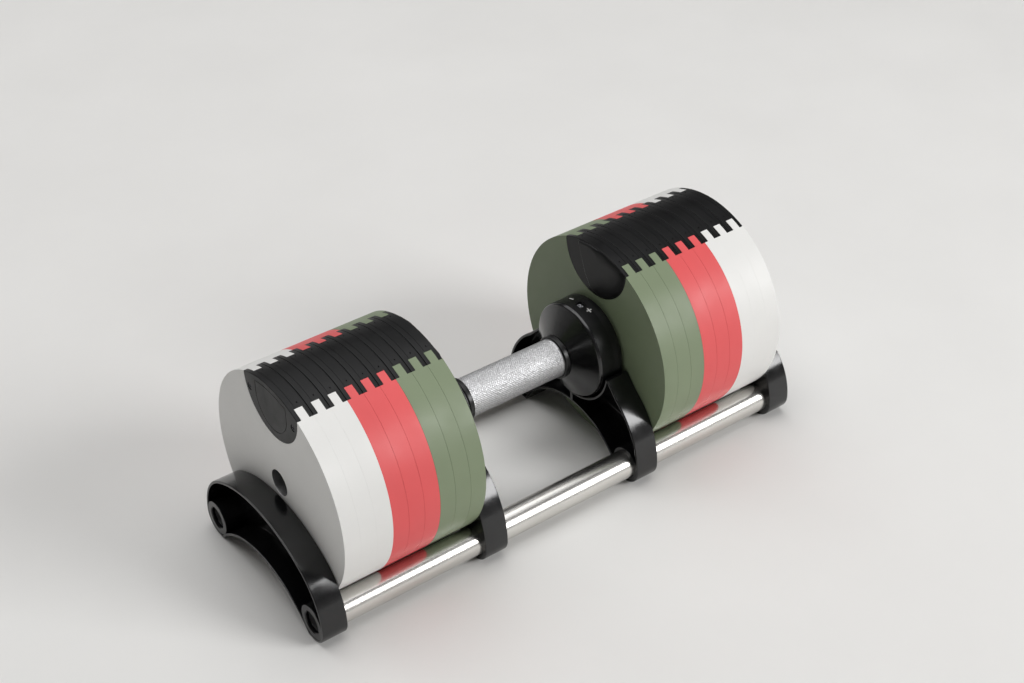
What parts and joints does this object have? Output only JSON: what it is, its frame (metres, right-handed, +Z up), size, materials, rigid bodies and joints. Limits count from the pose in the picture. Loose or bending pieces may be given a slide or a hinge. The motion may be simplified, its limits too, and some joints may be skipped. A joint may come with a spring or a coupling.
{
  "type": "adjustable dumbbell in cradle",
  "caption": "Adjustable dumbbell with disc plates on both sides of a knurled twist grip, resting in a cradle of moulded brackets and chromed tubes.",
  "frame": {"origin": "on the surface it stands on, under the middle of the grip", "axes": "+Z up, +X along the dumbbell towards the end with the number window, -Y towards the user"},
  "size_m": [0.4646, 0.18, 0.181],
  "materials": {
    "plate_white": "smooth satin powder coat",
    "plate_red": "smooth satin powder coat",
    "plate_green": "smooth satin powder coat",
    "insert_plastic": "fine-grained moulded nylon",
    "bracket_plastic": "satin moulded ABS",
    "tube_chrome": "bright chrome",
    "grip_steel": "satin, knurled",
    "collar_plastic": "satin moulded ABS",
    "drum_plastic": "fine-grained moulded ABS",
    "number_plastic": "moulded, printed numbers",
    "rod_steel": "machined steel",
    "screw_steel": "blackened steel"
  },
  "bodies": {
    "cradle": {"bracket_end_left": "bracket_plastic", "bracket_inner_left": "bracket_plastic", "bracket_inner_right": "bracket_plastic", "bracket_end_right": "bracket_plastic", "tube_front": "tube_chrome", "tube_rear": "tube_chrome"},
    "pin": {"lock_pin": "rod_steel"},
    "handle": {"neck_ring_left": "drum_plastic", "neck_ring_right": "drum_plastic", "collar_left": "collar_plastic", "collar_right": "collar_plastic", "drum_left": "drum_plastic", "drum_right": "drum_plastic", "lock_spring": "rod_steel"},
    "grip": {"grip": "grip_steel", "number_ring": "number_plastic"},
    "rod_left": {"selector_rod_left": "rod_steel"},
    "rod_right": {"selector_rod_right": "rod_steel"},
    "weight_left_1": {"plate_left_1": "plate_green", "insert_left_1": "insert_plastic"},
    "weight_left_2": {"plate_left_2": "plate_green", "insert_left_2": "insert_plastic"},
    "weight_left_3": {"plate_left_3": "plate_green", "insert_left_3": "insert_plastic"},
    "weight_left_4": {"plate_left_4": "plate_red", "insert_left_4": "insert_plastic"},
    "weight_left_5": {"plate_left_5": "plate_red", "insert_left_5": "insert_plastic"},
    "weight_left_6": {"plate_left_6": "plate_red", "insert_left_6": "insert_plastic"},
    "weight_left_7": {"plate_left_7": "plate_white", "insert_left_7": "insert_plastic"},
    "weight_left_8": {"plate_left_8": "plate_white", "insert_left_8": "insert_plastic"},
    "weight_left_9": {"plate_left_9": "plate_white", "insert_left_9": "insert_plastic", "screw_left_front": "screw_steel", "screw_left_rear": "screw_steel"},
    "weight_right_1": {"plate_right_1": "plate_green", "insert_right_1": "insert_plastic"},
    "weight_right_2": {"plate_right_2": "plate_green", "insert_right_2": "insert_plastic"},
    "weight_right_3": {"plate_right_3": "plate_green", "insert_right_3": "insert_plastic"},
    "weight_right_4": {"plate_right_4": "plate_red", "insert_right_4": "insert_plastic"},
    "weight_right_5": {"plate_right_5": "plate_red", "insert_right_5": "insert_plastic"},
    "weight_right_6": {"plate_right_6": "plate_red", "insert_right_6": "insert_plastic"},
    "weight_right_7": {"plate_right_7": "plate_white", "insert_right_7": "insert_plastic"},
    "weight_right_8": {"plate_right_8": "plate_white", "insert_right_8": "insert_plastic"},
    "weight_right_9": {"plate_right_9": "plate_white", "insert_right_9": "insert_plastic", "screw_right_front": "screw_steel", "screw_right_rear": "screw_steel"}
  },
  "joints": [
    {"name": "lift_out", "type": "slide", "parent": "cradle", "child": "pin", "axis": [0, 0, 1], "range_m": [0, 0.186]},
    {"name": "lock_pin_travel", "type": "slide", "parent": "pin", "child": "handle", "axis": [0, 0, 1], "range_m": [0, 0.004], "stiffness_N_per_m": 300, "springref_m": 0.008, "deforming": ["lock_spring"]},
    {"name": "grip_twist", "type": "hinge", "parent": "handle", "child": "grip", "pos_m": [0, 0, 0.091], "axis": [1, 0, 0], "range_deg": [0, 324]},
    {"name": "rod_left_slide", "type": "slide", "parent": "handle", "child": "rod_left", "axis": [-1, 0, 0], "range_m": [0, 0.1235]},
    {"name": "rod_right_slide", "type": "slide", "parent": "handle", "child": "rod_right", "axis": [1, 0, 0], "range_m": [0, 0.1235]},
    {"name": "weight_left_1_lift", "type": "slide", "parent": "cradle", "child": "weight_left_1", "axis": [0, 0, 1], "range_m": [0, 0.19]},
    {"name": "weight_left_2_lift", "type": "slide", "parent": "cradle", "child": "weight_left_2", "axis": [0, 0, 1], "range_m": [0, 0.19]},
    {"name": "weight_left_3_lift", "type": "slide", "parent": "cradle", "child": "weight_left_3", "axis": [0, 0, 1], "range_m": [0, 0.19]},
    {"name": "weight_left_4_lift", "type": "slide", "parent": "cradle", "child": "weight_left_4", "axis": [0, 0, 1], "range_m": [0, 0.19]},
    {"name": "weight_left_5_lift", "type": "slide", "parent": "cradle", "child": "weight_left_5", "axis": [0, 0, 1], "range_m": [0, 0.19]},
    {"name": "weight_left_6_lift", "type": "slide", "parent": "cradle", "child": "weight_left_6", "axis": [0, 0, 1], "range_m": [0, 0.19]},
    {"name": "weight_left_7_lift", "type": "slide", "parent": "cradle", "child": "weight_left_7", "axis": [0, 0, 1], "range_m": [0, 0.19]},
    {"name": "weight_left_8_lift", "type": "slide", "parent": "cradle", "child": "weight_left_8", "axis": [0, 0, 1], "range_m": [0, 0.19]},
    {"name": "weight_left_9_lift", "type": "slide", "parent": "cradle", "child": "weight_left_9", "axis": [0, 0, 1], "range_m": [0, 0.19]},
    {"name": "weight_right_1_lift", "type": "slide", "parent": "cradle", "child": "weight_right_1", "axis": [0, 0, 1], "range_m": [0, 0.19]},
    {"name": "weight_right_2_lift", "type": "slide", "parent": "cradle", "child": "weight_right_2", "axis": [0, 0, 1], "range_m": [0, 0.19]},
    {"name": "weight_right_3_lift", "type": "slide", "parent": "cradle", "child": "weight_right_3", "axis": [0, 0, 1], "range_m": [0, 0.19]},
    {"name": "weight_right_4_lift", "type": "slide", "parent": "cradle", "child": "weight_right_4", "axis": [0, 0, 1], "range_m": [0, 0.19]},
    {"name": "weight_right_5_lift", "type": "slide", "parent": "cradle", "child": "weight_right_5", "axis": [0, 0, 1], "range_m": [0, 0.19]},
    {"name": "weight_right_6_lift", "type": "slide", "parent": "cradle", "child": "weight_right_6", "axis": [0, 0, 1], "range_m": [0, 0.19]},
    {"name": "weight_right_7_lift", "type": "slide", "parent": "cradle", "child": "weight_right_7", "axis": [0, 0, 1], "range_m": [0, 0.19]},
    {"name": "weight_right_8_lift", "type": "slide", "parent": "cradle", "child": "weight_right_8", "axis": [0, 0, 1], "range_m": [0, 0.19]},
    {"name": "weight_right_9_lift", "type": "slide", "parent": "cradle", "child": "weight_right_9", "axis": [0, 0, 1], "range_m": [0, 0.19]}
  ],
  "couplings": [
    {"joint": "rod_left_slide", "follows": "grip_twist", "m_per_rad": 0.021834},
    {"joint": "rod_right_slide", "follows": "grip_twist", "m_per_rad": 0.021834}
  ]
}
